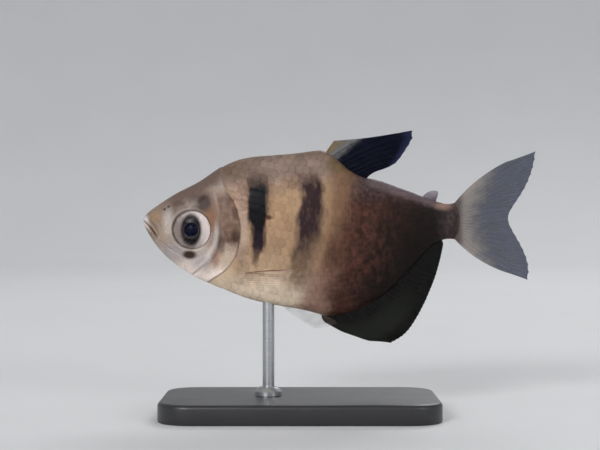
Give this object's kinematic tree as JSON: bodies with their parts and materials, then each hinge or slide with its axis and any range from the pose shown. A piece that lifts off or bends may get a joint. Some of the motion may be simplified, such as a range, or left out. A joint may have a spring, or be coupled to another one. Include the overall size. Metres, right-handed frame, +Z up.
{
  "type": "black skirt tetra on a display stand",
  "caption": "Deep-bodied silver-brown tetra with dark bars, a long black anal fin and a clear forked tail, held level by a rod on a flat base.",
  "frame": {"origin": "middle of the stand's underside, on the floor", "axes": "+Z up, the fish faces -X, its left side faces -Y"},
  "size_m": [0.0601, 0.024, 0.0434],
  "materials": {
    "skin": "satin, silver-brown scales",
    "dark_flank": "satin, dark brown scales",
    "gill_cover": "smooth, mother-of-pearl",
    "eye": "wet, silver iris round a black pupil",
    "black_fin": "thin, black",
    "clear_fin": "thin, see-through grey",
    "stand_base": "satin black",
    "stand_rod": "fine brushed"
  },
  "bodies": {
    "root": {"head": "skin", "lower_jaw": "skin", "gill_cover_left": "gill_cover", "gill_cover_right": "gill_cover", "eye_left": "eye", "eye_right": "eye", "trunk": "skin", "tail_stalk": "dark_flank", "dorsal_fin": "black_fin", "adipose_fin": "clear_fin", "caudal_fin": "clear_fin", "anal_fin": "black_fin", "pectoral_fin_left": "clear_fin", "pectoral_fin_right": "clear_fin", "pelvic_fin_left": "clear_fin", "pelvic_fin_right": "clear_fin", "stand_base": "stand_base", "stand_rod": "stand_rod", "stand_collar": "stand_rod"}
  },
  "joints": []
}
